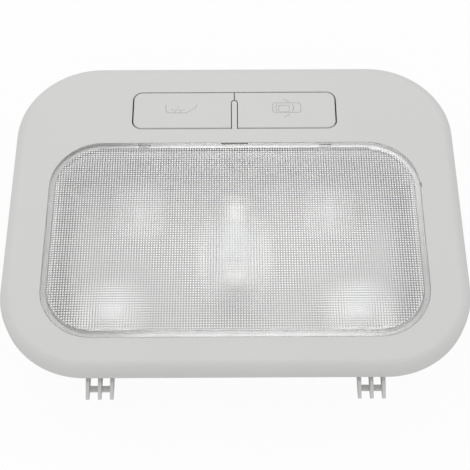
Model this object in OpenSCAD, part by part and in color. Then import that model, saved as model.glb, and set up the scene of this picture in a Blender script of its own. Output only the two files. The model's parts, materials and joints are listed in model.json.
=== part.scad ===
// Car dome light with a snap-in prismatic lens and two rocker buttons.
// The lamp lies on its back: the lens faces +Z and the two hook tabs point along -Y.
// z = 0 is the rim that seats on the roof lining; everything below it goes into the roof.

/* [Bezel] */
// Width of the bezel over its rim
bezel_w = 175.2; // [172:0.1:200]
// Length of the bezel over its rim
bezel_l = 135.3; // [134:0.1:150]
// Height of the bezel from its rim to its front face
bezel_h = 7.5; // [7.2:0.1:10]
// Corner radius of the bezel in plan
bezel_corner_r = 33; // [25:0.5:36]
// Radius of the rolled edge round the front face
bezel_roll_r = 3.8; // [3:0.1:5]
// Thickness of the bezel's front plate
bezel_plate = 2.2; // [1.8:0.1:2.4]
// Thickness of the bezel's skirt, which is also the width of its rim
bezel_skirt = 2; // [1.6:0.1:2.6]

/* [Lens] */
// Width of the bezel's frame at each side of the lens
side_frame = 15.4; // [14.8:0.1:17]
// Width of the bezel's frame below the lens
lower_frame = 12.85; // [12.2:0.05:14]
// Width of the bezel's frame above the buttons
upper_frame = 13.35; // [12.8:0.05:14.5]
// Corner radius of the lens
lens_corner_r = 20; // [19:0.5:24]
// Thickness of the lens plate
lens_t = 2.2; // [2:0.1:2.6]
// Width of the moulding gate's stub on the lens's right edge
gate_w = 2; // [1.2:0.1:3]
// Reach of the stub
gate_t = 0.5; // [0.3:0.05:0.8]
// Distance from the lens's upper edge down to the gate
gate_inset = 20; // [19:0.5:26]
// Width of the smooth border outside the prisms
lens_border = 2.5; // [2:0.1:4]
// Height of the prism field above the smooth border
lens_field_h = 0.35; // [0.2:0.05:0.6]
// Gap between the lens and its opening
lens_gap = 0.2; // [0.15:0.05:0.3]
// Width of the ledge that the lens rests on
ledge_w = 1.8; // [1.5:0.1:2.4]
// Wall of the skirt under the lens
lens_skirt_t = 1.2; // [1:0.1:1.4]
// Height of the skirt under the lens
lens_skirt_h = 3.4; // [2.8:0.1:3.6]
// Distance from the middle to each snap finger of the lens
snap_x = 36; // [30:0.5:44]
// Width of each snap slot
snap_w = 4.8; // [4:0.1:7]
// Distance from the middle to each hook lug of the lens
lug_x = 31.3; // [20:0.1:36]
// Width of each hook lug of the lens
lug_w = 5; // [3:0.5:8]
// Reach of the snaps and lugs into the collar
lug_reach = 1.1; // [0.7:0.1:1.3]
// Width of the notch where a screwdriver lifts the lens
pry_w = 10.8; // [8:0.1:14]
// Depth of the notch into the lens
pry_d = 0.75; // [0.5:0.05:1.1]
// Width of the slits over the snap fingers
slit_w = 0.4; // [0.3:0.05:0.6]
// Distance from the lens edge in to those slits
slit_inset = 0.65; // [0.5:0.05:0.9]

/* [Buttons] */
// Width of the pocket that both buttons share
pocket_w = 82.8; // [80:0.1:85]
// Length of the pocket
pocket_l = 18.3; // [17.5:0.1:18.8]
// Distance from the lens edge to the pocket
pocket_offset = 6.8; // [6:0.1:7]
// Corner radius of the pocket
pocket_corner_r = 4; // [3:0.1:5]
// Gap at the sides and the lower edge of a button
button_gap = 0.5; // [0.4:0.05:0.6]
// Gap at the upper edge of a button
button_top_gap = 0.25; // [0.2:0.05:0.4]
// Slit between the two buttons
button_slit = 0.4; // [0.3:0.05:0.6]
// Thickness of a button's front
button_t = 1.8; // [1.6:0.1:1.9]
// Edge radius of a button's front
button_edge_r = 0.5; // [0.4:0.05:0.8]
// Width of the tongue between the buttons
tongue_w = 2.1; // [1.8:0.1:2.4]
// Length of the tongue up from the pocket's lower edge
tongue_l = 13.7; // [12:0.1:14.2]
// Gap between the tongue and the buttons
tongue_gap = 0.35; // [0.3:0.05:0.5]
// Gap past the tongue's tip, which the tilting buttons need
tongue_tip_gap = 0.65; // [0.6:0.05:0.8]
// Distance from the pocket's upper edge down to the hinge line
hinge_inset = 2.5; // [2.4:0.1:3]
// Distance from the front face down to the hinge line
hinge_drop = 3.9; // [3.8:0.05:4.1]
// Radius of a button's trunnions
trunnion_r = 1.1; // [1:0.05:1.15]
// Running clearance of the trunnions
trunnion_fit = 0.05; // [0.03:0.01:0.08]
// Wall round a trunnion
trunnion_wall = 0.8; // [0.6:0.05:0.9]
// Thickness of the button ribs that carry the trunnions
button_rib_t = 1.6; // [1.2:0.1:2]
// Distance from a button's outer side in to its outer rib
button_rib_inset = 1.9; // [1.8:0.1:3]

/* [Switches] */
// Distance from the middle to each switch
switch_x = 20.5; // [18:0.1:24]
// Distance from the hinge line to the switch plunger
plunger_arm = 10; // [9:0.1:10.5]
// Radius of a switch plunger
plunger_r = 2.2; // [1.8:0.1:2.8]
// Length of a switch plunger
plunger_l = 6; // [5:0.1:6.5]
// Running clearance of a plunger
plunger_fit = 0.08; // [0.04:0.01:0.1]
// Height of a plunger's top above the rim plane
plunger_top_z = 3; // [2.6:0.1:3.4]
// Gap between a button's pad and its plunger
pad_gap = 0.3; // [0.2:0.05:0.4]
// Radius of the pad that presses the plunger
pad_r = 1.2; // [0.9:0.05:1.2]
// Width of the pad
pad_w = 5; // [3:0.5:8]
// Width of the catch fingers that stop a button at the front
catch_w = 4; // [3:0.5:6]
// Distance from a button's sides in to its catch fingers
catch_inset = 8; // [6:0.5:12]
// Width of a switch case
case_w = 14; // [12:0.5:17]
// Length of a switch case
case_l = 9; // [8:0.5:9.5]
// Height of a switch case's top above the rim plane
case_top_z = 0.5; // [0:0.1:0.8]
// Floor thickness of a switch case
case_floor = 1.2; // [1:0.1:1.6]
// Wire diameter of the plunger springs
spring_wire = 0.45; // [0.3:0.05:0.6]
// Turns of a plunger spring
spring_turns = 4; // [3:1:6]

/* [Reflector and bulb] */
// Wall of the reflector
reflector_t = 1.2; // [1:0.1:1.5]
// Gap between the floors of the reflector and the housing, for the busbars
reflector_floor_gap = 5; // [3.6:0.1:5]
// Radius where the reflector's sides turn into its floor
reflector_roll_r = 9; // [6:0.5:11]
// Distance of the lens light trap to the reflector wall
reflector_gap = 0.3; // [0.2:0.05:0.5]
// Distance from the lens middle up to the bulb
bulb_offset = 3; // [-4:0.5:8]
// Gap between the bulb's glass and the bottom of the heat shield
bulb_gap = 4.5; // [4:0.1:5]
// Length of the bulb over its tips
bulb_l = 38; // [36:0.5:41]
// Radius of the bulb's glass
bulb_r = 5; // [4:0.1:5.2]
// Wall of the bulb's glass
bulb_wall = 0.6; // [0.5:0.05:0.9]
// Shoulder radius of the bulb's glass
bulb_shoulder_r = 3; // [2.6:0.1:3.4]
// Length of the coiled filament
filament_l = 12; // [9:0.5:13]
// Radius of the bulb's end caps
cap_r = 3.5; // [3:0.1:3.8]
// Length of the straight part of an end cap
cap_l = 4.5; // [4:0.1:6]
// Length of the cone on an end cap
cap_cone_l = 3; // [2.5:0.1:3.5]
// Radius of the tip of an end cap
cap_tip_r = 1; // [0.8:0.1:1.3]
// Sheet thickness of the bulb contacts
contact_t = 0.6; // [0.5:0.05:0.8]
// Width of the bulb contacts
contact_w = 8; // [7:0.1:10]
// Length of a bulb contact's foot
contact_foot = 5; // [4:0.1:6]
// Length of the heat shield under the bulb
shield_l = 24; // [18:0.5:27]
// Radius of the heat shield's trough
shield_r = 10; // [9:0.1:12]
// Width of the heat shield across its trough
shield_w = 14; // [12:0.5:18]
// Sheet thickness of the heat shield
shield_t = 0.5; // [0.4:0.05:0.8]

/* [Housing] */
// Depth of the rear housing below the rim plane
housing_depth = 24; // [22.5:0.1:28]
// Wall of the rear housing
housing_t = 1.8; // [1.5:0.1:2.2]
// Gap between the reflector and the housing wall
housing_gap = 1.7; // [1.6:0.1:2]
// Bottom edge radius of the rear housing
housing_roll_r = 7; // [4:0.5:8]
// Thickness of the housing's flange
flange_t = 1.8; // [1.5:0.1:2.2]
// Depth of the switch bay below the rim plane
bay_depth = 11; // [10:0.1:13]
// Distance from the lens collar out to each housing screw
ear_offset = 5; // [4.6:0.1:5.8]
// Distance from the lens edge in to each housing screw along Y
ear_inset = 17; // [14:0.5:22]
// Radius of the screw ears
ear_r = 5; // [4:0.1:5.4]
// Height of the stiffening ribs on the housing's back
back_rib_h = 1; // [0.6:0.1:1.5]
// Thickness of the stiffening ribs
back_rib_t = 1.5; // [1.2:0.1:1.8]
// Distance between the stiffening ribs
back_rib_pitch = 15; // [12:0.5:16]
// Distance from the housing's wall in to the ends of the ribs
back_rib_inset = 12; // [10:0.5:16]
// Radius of the foam pads that keep the lamp from rattling on the roof panel
pad_disc_r = 5; // [4:0.5:6]
// Thickness of the foam pads
pad_disc_t = 2; // [1.6:0.1:3]
// Distance from the housing's side walls in to the middles of the foam pads
pad_disc_inset_x = 13; // [12:0.5:16]
// Distance from the housing's end walls in to the middles of the foam pads
pad_disc_inset_y = 14; // [12:0.5:18]
// Radius of the screw shanks
screw_r = 1.25; // [1:0.05:1.5]
// Radius of the screw heads
screw_head_r = 2.9; // [2.4:0.1:3.2]
// Height of the screw heads
screw_head_h = 2; // [1.4:0.1:2.4]
// Clearance of a screw in its pilot hole
screw_fit = 0.03; // [0.02:0.01:0.06]
// Distance from the middle to the upper lamp screws
upper_screw_x = 39; // [32:0.5:44]
// Distance from the middle to the lower lamp screws
lower_screw_x = 48.5; // [40:0.1:50]
// Distance from the lens edge in to the lamp screws along Y
lamp_screw_inset = 17.5; // [16:0.5:22]
// Distance by which the lower lamp screws lie nearer to the middle than the upper ones
lower_screw_lift = 4; // [0:0.5:6]
// Radius of the reflector's screw bosses
lamp_boss_r = 4; // [3.5:0.1:4.6]
// Height of the reflector's screw bosses
lamp_boss_h = 4; // [2:0.1:6]

/* [Connector] */
// Inner width of the connector socket
socket_w = 15; // [14:0.5:18]
// Inner length of the connector socket
socket_l = 7.2; // [6.4:0.1:8]
// Wall of the connector socket
socket_t = 1.2; // [1:0.1:1.5]
// Depth of the connector socket
socket_h = 12; // [10.5:0.1:12.5]
// Pitch of the connector pins
pin_pitch = 4; // [3:0.5:4.5]
// Width of a connector pin
pin_w = 1.2; // [0.8:0.1:1.6]
// Length of the pins inside the socket
pin_l = 5.6; // [4:0.1:6]
// Sheet thickness of the busbars
bus_t = 0.8; // [0.6:0.05:1]
// Width of the busbars
bus_w = 4; // [3:0.1:5]
// Distance from the middle to the two busbars that run from the bulb to the switches
busbar_x = 17.5; // [15:0.1:20]

/* [Hook tabs and clips] */
// Distance from the bezel's side in to the middle of each hook tab
tab_inset = 38.1; // [37:0.1:44]
// Thickness of a tab's ribs
tab_rib_t = 1.2; // [1:0.1:1.6]
// Distance between a tab's ribs
tab_pitch = 4.4; // [4:0.1:5]
// Reach of the tabs beyond the rim
tab_reach = 6; // [5:0.1:8]
// Gap for the roof lining above the tabs
lining_gap = 2.6; // [2.3:0.1:3.5]
// Drop of a tab's upper edge from its root to its tip
tab_drop = 2; // [1:0.1:2.2]
// Height of a tab's tip
tab_tip_h = 2.2; // [1.8:0.1:3]
// Height of a tab's arm near the rim
tab_root_h = 4.6; // [4:0.1:6]
// Width of the cross bar between a tab's ribs
tab_bar_w = 2; // [1.4:0.1:2.2]
// Thickness of the cross bar
tab_bar_t = 1.4; // [1:0.1:1.6]
// Distance from a tab's tip back to its cross bar
tab_bar_inset = 3.2; // [1.9:0.1:3.4]
// Width of a roof clip
clip_w = 10; // [8:0.5:12]
// Gap between the switch bay and a roof clip
clip_gap = 1; // [0.6:0.1:2]
// Sheet thickness of a roof clip
clip_t = 0.6; // [0.5:0.05:0.8]
// Depth of a roof clip below the rim plane
clip_depth = 10; // [8:0.1:12]
// Bulge of a roof clip
clip_bulge = 2.6; // [1.5:0.1:3.2]
// Thickness of the post inside a roof clip
post_t = 2; // [1.6:0.1:2.6]
// Distance from the rim's upper edge to a clip's post
post_inset = 8.6; // [8:0.1:9.5]

/* [Hidden] */
$fn = 64;
e = 0.01;

grey = [0.80, 0.80, 0.79];
pale = [0.93, 0.93, 0.92];
steel = [0.72, 0.73, 0.75];
brass = [0.80, 0.66, 0.36];

// Levels
front_z = bezel_h;
plate_z = front_z - bezel_plate;
ledge_z = front_z - lens_t;
collar_z = 1.5;
collar_t = 1.6;
boss_z = 0.3;
flange_z = 0.3;
reflector_flange_t = collar_z - flange_z;
floor_z = -housing_depth + housing_t;
bay_floor_z = -bay_depth + housing_t;

// Lens and its place, from the bezel and the widths of its frame
lens_w = bezel_w - 2*side_frame;
lens_l = bezel_l - lower_frame - upper_frame - pocket_offset - pocket_l;
lens_offset = bezel_l/2 - lower_frame - lens_l/2;
ear_y = lens_l/2 - ear_inset;
lamp_screw_y = lens_l/2 - lamp_screw_inset;

// Lens opening
seat_w = lens_w + 2*lens_gap;
seat_l = lens_l + 2*lens_gap;
seat_r = lens_corner_r + lens_gap;
hole_w = lens_w - 2*ledge_w;
hole_l = lens_l - 2*ledge_w;
hole_r = lens_corner_r - ledge_w;
collar_w = seat_w + 2*collar_t;
collar_l = seat_l + 2*collar_t;
collar_r = seat_r + collar_t;
ear_x = collar_w/2 + ear_offset;
lens_skirt_w = hole_w - 2*reflector_gap;
gate_y = lens_l/2 - gate_inset;
lens_skirt_l = hole_l - 2*reflector_gap;
lens_skirt_r = hole_r - reflector_gap;
field_w = lens_w - 2*lens_border;
field_l = lens_l - 2*lens_border;
field_r = lens_corner_r - lens_border;

tab_x = bezel_w/2 - tab_inset;

// Pocket and buttons, measured from the lens middle
pocket_y0 = lens_l/2 + pocket_offset;
pocket_y1 = pocket_y0 + pocket_l;
pocket_ym = (pocket_y0 + pocket_y1)/2;
hinge_y = pocket_y1 - hinge_inset;
hinge_z = front_z - hinge_drop;
lobe_r = trunnion_r + trunnion_wall;
plunger_y = hinge_y - plunger_arm;
button_y0 = pocket_y0 + button_gap;
button_y1 = pocket_y1 - button_top_gap;
button_x1 = pocket_w/2 - button_gap;
button_z0 = front_z - button_t;
button_inner_x = tongue_w/2 + tongue_gap;
slot_y = pocket_y0 + tongue_l + tongue_tip_gap - button_inner_x;
plunger_z0 = plunger_top_z - plunger_l;
bore_z0 = bay_floor_z + case_floor;

// Reflector and housing
reflector_under_z = floor_z + reflector_floor_gap;
reflector_depth = -reflector_under_z - reflector_t;
basin_w = lens_skirt_w - 2*reflector_gap;
basin_l = lens_skirt_l - 2*reflector_gap;
basin_r = lens_skirt_r - reflector_gap;
tray_w = basin_w + 2*housing_gap;
tray_l = basin_l + 2*housing_gap;
tray_r = basin_r + housing_gap;
pad_disc_x = tray_w/2 - pad_disc_inset_x;
pad_disc_y = tray_l/2 - pad_disc_inset_y;
back_ribs = floor((pad_disc_x - pad_disc_r - back_rib_t)/back_rib_pitch);
bulb_z = -reflector_depth + shield_t + bulb_gap + bulb_r;
cap_x = bulb_l/2 - cap_cone_l - cap_l;
contact_x = bulb_l/2 - cap_cone_l*0.5;
upper_foot_y = bulb_offset + contact_x;
lower_foot_y = bulb_offset - contact_x - contact_foot;
cone_r = cap_tip_r + (cap_r - cap_tip_r)*(bulb_l/2 - contact_x + contact_t/2)/cap_cone_l;
bay_x = pocket_w/2 + collar_t + housing_t;
bay_y0 = pocket_y0 - collar_t - housing_t - 2;
bay_y1 = pocket_y1 + collar_t + housing_t;
bay_r = 5;
clip_x = bay_x + clip_gap + clip_w/2;
socket_y = plunger_y + case_l/2 - socket_l/2;
wall_y = tray_l/2;
case_y0 = plunger_y - case_l/2;
case_y1 = plunger_y + case_l/2;
// Level at which the common busbar enters the switch bay
common_z = -5;
lamp_screws_at = [for (s = [-1, 1]) each [[s*upper_screw_x, lamp_screw_y], [s*lower_screw_x, lower_screw_lift - lamp_screw_y]]];
ears_at = [for (sx = [-1, 1], sy = [-1, 1]) [sx*ear_x, sy*ear_y]];

// Helpers
module at_lens() translate([0, -lens_offset, 0]) children();
// The bulb's own X runs along the lamp's Y
module along_bulb() at_lens() translate([0, bulb_offset, 0]) rotate([0, 0, 90]) children();
module along_x(h) rotate([90, 0, 90]) linear_extrude(height = h, center = true) children();

module round_rect(w, l, r) {
    square([w - 2*r, l], center = true);
    square([w, l - 2*r], center = true);
    for (x = [-1, 1], y = [-1, 1]) translate([x*(w/2 - r), y*(l/2 - r)]) circle(r);
}

module plate(w, l, r, z0, z1) translate([0, 0, z0]) linear_extrude(height = z1 - z0) round_rect(w, l, r);

module ring(w, l, r, t, z0, z1) difference() {
    plate(w, l, r, z0, z1);
    plate(w - 2*t, l - 2*t, r - t, z0 - 1, z1 + 1);
}

// Section of a rolled edge: run across, h high, with a rounded upper outer corner
module roll_section(run, h, roll) {
    square([run, h - roll]);
    square([run - roll, h]);
    intersection() {
        translate([run - roll, h - roll]) circle(roll);
        translate([run - roll, h - roll]) square(roll);
    }
}

// Rounded rectangular block whose upper edge is rolled all round
module roll_block(w, l, h, r, roll) {
    sides = [[w/2 - r, l/2 - r, 0, l - 2*r], [-(w/2 - r), l/2 - r, 90, w - 2*r], [-(w/2 - r), -(l/2 - r), 180, l - 2*r], [w/2 - r, -(l/2 - r), 270, w - 2*r]];
    translate([-(w/2 - r), -(l/2 - r), 0]) cube([w - 2*r, l - 2*r, h]);
    for (s = sides) translate([s[0], s[1], 0]) rotate([0, 0, s[2]]) {
        rotate_extrude(angle = 90) roll_section(r, h, roll);
        rotate([90, 0, 0]) linear_extrude(height = s[3]) roll_section(r, h, roll);
    }
}

// Open tray with rolled bottom edges, its mouth at z1 and its bottom at z0
module tray(w, l, r, roll, t, z0, z1) difference() {
    translate([0, 0, z1]) mirror([0, 0, 1]) roll_block(w + 2*t, l + 2*t, z1 - z0, r + t, roll);
    translate([0, 0, z1 + 1]) mirror([0, 0, 1]) roll_block(w, l, z1 - z0 - t + 1, r, max(roll - t, 1));
}

module rod_x(x0, x1, r) translate([x0, 0, 0]) rotate([0, 90, 0]) cylinder(r = r, h = x1 - x0);

// Wire coil round +Z as one swept solid
module coil(r, wire, turns, h, steps, sides) {
    n = turns*steps;
    pts = [for (i = [0:n], k = [0:sides - 1])
        let (a = 360*i/steps, b = 360*k/sides, q = r + wire/2*cos(b))
        [q*cos(a), q*sin(a), wire/2 + (h - wire)*i/n + wire/2*sin(b)]];
    polyhedron(points = pts, faces = concat(
        [[for (k = [sides - 1:-1:0]) k]],
        [for (i = [0:n - 1], k = [0:sides - 1]) [i*sides + (k + 1)%sides, (i + 1)*sides + (k + 1)%sides, (i + 1)*sides + k, i*sides + k]],
        [[for (k = [0:sides - 1]) n*sides + k]]), convexity = 6);
}

// Outline of the pocket with the tongue left standing between the buttons
module pocket_outline(grow) difference() {
    translate([0, pocket_ym]) round_rect(pocket_w, pocket_l, pocket_corner_r);
    translate([-tongue_w/2 - grow, pocket_y0 - 1]) square([tongue_w + 2*grow, tongue_l - tongue_w/2 + 1]);
    translate([0, pocket_y0 + tongue_l - tongue_w/2]) circle(tongue_w/2 + grow);
}

// Side view of one hook rib: a leg inside the bezel and an arm that slopes down to its tip
module hook_rib() {
    y0 = -bezel_l/2;
    tip = y0 - tab_reach;
    arm_z = -lining_gap;
    tip_z = arm_z - tab_drop;
    leg_y = y0 + bezel_skirt;
    translate([leg_y, arm_z - tab_root_h]) square([4, tab_root_h + lining_gap + plate_z + 0.6]);
    polygon([[leg_y + 2, arm_z], [y0 - 0.5, arm_z], [tip + tab_tip_h/2, tip_z], [tip + tab_tip_h/2, tip_z - tab_tip_h], [y0, arm_z - tab_root_h], [leg_y + 2, arm_z - tab_root_h]]);
    translate([tip + tab_tip_h/2, tip_z - tab_tip_h/2]) circle(tab_tip_h/2);
}

module hook_tab() {
    for (i = [-1, 0, 1]) translate([i*tab_pitch, 0, 0]) along_x(tab_rib_t) hook_rib();
    translate([-tab_pitch - tab_rib_t/2, -bezel_l/2 - tab_reach + tab_bar_inset, -lining_gap - tab_drop - tab_tip_h]) cube([2*tab_pitch + tab_rib_t, tab_bar_w, tab_bar_t]);
}

module bezel() color(grey) difference() {
    union() {
        difference() {
            roll_block(bezel_w, bezel_l, bezel_h, bezel_corner_r, bezel_roll_r);
            translate([0, 0, -1]) roll_block(bezel_w - 2*bezel_skirt, bezel_l - 2*bezel_skirt, plate_z + 1, bezel_corner_r - bezel_skirt, bezel_roll_r - bezel_skirt);
        }
        at_lens() {
            ring(collar_w, collar_l, collar_r, collar_t + lens_gap + ledge_w, collar_z, plate_z + 0.6);
            translate([0, pocket_ym, 0]) ring(pocket_w + 2*collar_t, pocket_l + 2*collar_t, pocket_corner_r + collar_t, collar_t, boss_z, plate_z + 0.6);
            translate([-tongue_w/2, pocket_y0 - 1, boss_z]) cube([tongue_w, pocket_l + 2, plate_z - boss_z]);
            translate([-tongue_w/2, pocket_y0 - 1, plate_z - e]) cube([tongue_w, tongue_l - tongue_w/2, 0.5]);
            for (p = ears_at) translate([p[0], p[1], boss_z]) cylinder(r = screw_head_r + 0.3, h = plate_z - boss_z + 0.6);
        }
        for (s = [-1, 1]) {
            translate([s*tab_x, 0, 0]) hook_tab();
            translate([s*clip_x - clip_w/2 + 0.5, bezel_l/2 - post_inset - post_t, -clip_depth + 3]) cube([clip_w - 1, post_t, clip_depth - 3 + plate_z + 0.6]);
        }
    }
    at_lens() {
        plate(seat_w, seat_l, seat_r, ledge_z, front_z + 1);
        plate(hole_w, hole_l, hole_r, collar_z - 1, front_z + 1);
        translate([0, 0, plate_z]) linear_extrude(height = bezel_plate + 1) pocket_outline(0);
        // pockets for the snap fingers, relief for the lens gate and windows for the lugs
        for (s = [-1, 1]) translate([s*snap_x - snap_w/2, hole_l/2 - 1, collar_z + 1]) cube([snap_w, 1 + ledge_w + lens_gap + 0.7, ledge_z - collar_z - 1 + e]);
        translate([seat_w/2 - 1, gate_y - gate_w/2 - 0.2, ledge_z]) cube([1 + gate_t, gate_w + 0.4, bezel_h]);
        for (s = [-1, 1]) translate([s*lug_x - lug_w/2 - 0.3, -hole_l/2 - lug_reach - 0.6, collar_z + 0.2]) cube([lug_w + 0.6, lug_reach + 1, 1.9]);
        translate([0, hinge_y, hinge_z]) rod_x(-pocket_w/2 - collar_t - 1, pocket_w/2 + collar_t + 1, trunnion_r + trunnion_fit);
        for (p = ears_at) translate([p[0], p[1], boss_z - 1]) cylinder(r = screw_r + screw_fit, h = plate_z - boss_z - 0.2 + 1);
    }
}

module lens() color([0.92, 0.94, 0.95, 0.6]) at_lens() {
    difference() {
        union() {
            plate(lens_w, lens_l, lens_corner_r, ledge_z, front_z);
            plate(field_w, field_l, field_r, ledge_z, front_z + lens_field_h);
            // stub of the gate that the lens was moulded through
            translate([lens_w/2 - 1, gate_y - gate_w/2, ledge_z + 0.4]) cube([1 + gate_t, gate_w, lens_t - 0.8]);
        }
        // slits over the snap fingers and notch for the screwdriver
        for (s = [-1, 1]) translate([s*snap_x - snap_w/2, lens_l/2 - slit_inset - slit_w, ledge_z - 1]) cube([snap_w, slit_w, lens_t + 2]);
        translate([-pry_w/2, lens_l/2 - pry_d, ledge_z - 1]) cube([pry_w, pry_d + 1, lens_t + 2]);
    }
    ring(lens_skirt_w, lens_skirt_l, lens_skirt_r, lens_skirt_t, ledge_z - lens_skirt_h, ledge_z + e);
    for (s = [-1, 1]) {
        // hook lug on the lower edge
        translate([s*lug_x, 0, 0]) along_x(lug_w) translate([-lens_skirt_l/2 - lug_reach, ledge_z - lens_skirt_h]) square([lug_reach + 0.5, 1.2]);
        // snap finger on the upper edge, with its barb under the ledge
        translate([s*snap_x, 0, 0]) along_x(snap_w - 0.8) polygon([[lens_skirt_l/2 - 0.5, ledge_z + 0.5], [lens_skirt_l/2 + 0.9, ledge_z + 0.5], [lens_skirt_l/2 + 0.9, 3.6], [lens_skirt_l/2 + 0.9 + 0.5, 3.2], [lens_skirt_l/2 + 0.9, 2.6], [lens_skirt_l/2 - 0.5, 2.6]]);
    }
}

// The left button; the right one is its mirror image
module button_form() at_lens() {
    difference() {
        translate([0, (button_y0 + button_y1)/2, button_z0]) roll_block(2*button_x1, button_y1 - button_y0, button_t, pocket_corner_r - button_gap, button_edge_r);
        translate([-button_slit/2, pocket_y0 - 1, button_z0 - 1]) cube([pocket_w, pocket_l + 2, bezel_h]);
        translate([-button_inner_x, pocket_y0 - 1, button_z0 - 1]) cube([2*button_inner_x, slot_y - pocket_y0 + 1, bezel_h]);
        translate([0, slot_y, button_z0 - 1]) cylinder(r = button_inner_x, h = bezel_h);
    }
    for (x = [-button_x1 + button_rib_inset + button_rib_t/2, -button_inner_x - button_rib_t/2]) translate([x, 0, 0]) along_x(button_rib_t) {
        translate([hinge_y, hinge_z]) circle(lobe_r);
        polygon([[hinge_y - lobe_r, hinge_z], [hinge_y + lobe_r, hinge_z], [hinge_y + lobe_r, button_z0 + 0.3], [plunger_y - 3.5, button_z0 + 0.3], [plunger_y - 3.5, button_z0 - 0.6]]);
    }
    translate([0, hinge_y, hinge_z]) {
        rod_x(-pocket_w/2 - collar_t + 0.4, -button_x1 + button_rib_inset + 0.5, trunnion_r);
        rod_x(-button_inner_x - 0.5, -0.15, trunnion_r);
    }
    // pad over the plunger
    translate([-switch_x, 0, 0]) along_x(pad_w) {
        translate([plunger_y, plunger_top_z + pad_gap + pad_r]) circle(pad_r);
        translate([plunger_y - pad_r, plunger_top_z + pad_gap + pad_r]) square([2*pad_r, button_z0 + 0.3 - plunger_top_z - pad_gap - pad_r]);
    }
    // catch fingers that stop the button at the front
    for (x = [-pocket_w/2 + catch_inset, -catch_inset]) translate([x, 0, 0]) along_x(catch_w)
        polygon([[button_y0 + 0.1, button_z0 + 0.3], [button_y0 + 0.1, boss_z - 0.1], [button_y0 - 0.9, boss_z - 0.1], [button_y0 - 0.9, boss_z - 0.5], [button_y0 + 0.1, boss_z - 1.5], [button_y0 + 1.2, boss_z - 1.5], [button_y0 + 1.2, button_z0 + 0.3]]);
}

module left_button() color(grey) button_form();
module right_button() color(grey) mirror([1, 0, 0]) button_form();

module rear_housing() color(pale) difference() {
    union() {
        at_lens() {
            tray(tray_w, tray_l, tray_r, housing_roll_r, housing_t, -housing_depth, flange_z);
            ring(collar_w, collar_l, collar_r, (collar_w - tray_w)/2, flange_z - flange_t, flange_z);
            // switch bay
            translate([0, (bay_y0 + bay_y1)/2, 0]) difference() {
                plate(2*bay_x, bay_y1 - bay_y0, bay_r, -bay_depth, flange_z);
                plate(2*bay_x - 2*housing_t, bay_y1 - bay_y0 - 2*housing_t, bay_r - housing_t, bay_floor_z, flange_z + 1);
            }
            for (p = ears_at) {
                translate([p[0], p[1], flange_z - flange_t]) cylinder(r = ear_r, h = flange_t);
                translate([min(p[0], sign(p[0])*(tray_w/2 + 1)), p[1] - ear_r, flange_z - flange_t]) cube([abs(p[0]) - tray_w/2 - 1, 2*ear_r, flange_t]);
            }
            for (p = lamp_screws_at) translate([p[0], p[1], floor_z - 0.5]) cylinder(r = lamp_boss_r - 0.5, h = reflector_under_z - floor_z + 0.5);
            // connector socket
            translate([0, socket_y, 0]) plate(socket_w + 2*socket_t, socket_l + 2*socket_t, 1.5, -bay_depth - socket_h, -bay_depth + 0.5);
            // ribs on the back
            for (i = [-back_ribs:back_ribs]) translate([i*back_rib_pitch - back_rib_t/2, -tray_l/2 + back_rib_inset, -housing_depth - back_rib_h]) cube([back_rib_t, tray_l - 2*back_rib_inset, back_rib_h + 0.5]);
        }
    }
    at_lens() {
        // the bay's wall opens into the lamp tray for two busbars
        translate([-busbar_x - bus_w/2 - 0.4, tray_l/2 - 1, bay_floor_z]) cube([bus_w + 0.8, bay_y0 - tray_l/2 + housing_t + 2, 1.4]);
        translate([busbar_x - bus_w/2 - 0.4, tray_l/2 - 1, common_z - 0.3]) cube([bus_w + 0.8, bay_y0 - tray_l/2 + housing_t + 2, 1.4]);
        translate([0, socket_y, 0]) plate(socket_w, socket_l, 0.6, -bay_depth - socket_h - 1, -bay_depth);
        for (i = [-1, 0, 1]) translate([i*pin_pitch - pin_w/2 - 0.05, socket_y - bus_t/2 - 0.05, -bay_depth - 1]) cube([pin_w + 0.1, bus_t + 0.1, housing_t + 2]);
        for (p = ears_at) translate([p[0], p[1], flange_z - flange_t - 1]) cylinder(r = screw_r + 0.3, h = flange_t + 2);
        for (p = lamp_screws_at) translate([p[0], p[1], floor_z + 0.4]) cylinder(r = screw_r + screw_fit, h = reflector_under_z - floor_z + 1);
    }
}

// Adhesive foam discs on the housing's back
module foam_pads() color([0.3, 0.3, 0.32]) at_lens() for (sx = [-1, 1], sy = [-1, 1])
    translate([sx*pad_disc_x, sy*pad_disc_y, -housing_depth - pad_disc_t]) cylinder(r = pad_disc_r, h = pad_disc_t);

module reflector() color(pale) at_lens() difference() {
    union() {
        tray(basin_w - 2*reflector_t, basin_l - 2*reflector_t, basin_r - reflector_t, reflector_roll_r, reflector_t, reflector_under_z, collar_z);
        ring(collar_w - 0.6, collar_l - 0.6, collar_r - 0.3, (collar_w - 0.6 - basin_w)/2 + 0.6, flange_z, collar_z);
        for (p = lamp_screws_at) translate([p[0], p[1], -reflector_depth - 0.5]) cylinder(r = lamp_boss_r, h = lamp_boss_h + 0.5);
    }
    for (s = [-1, 1]) translate([-contact_w/2 - 0.3, bulb_offset + s*contact_x - contact_t/2 - 0.3, reflector_under_z - 1]) cube([contact_w + 0.6, contact_t + 0.6, reflector_t + 2]);
    for (p = lamp_screws_at) translate([p[0], p[1], reflector_under_z - 1]) cylinder(r = screw_r + 0.3, h = lamp_boss_h + reflector_t + 2);
}

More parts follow.
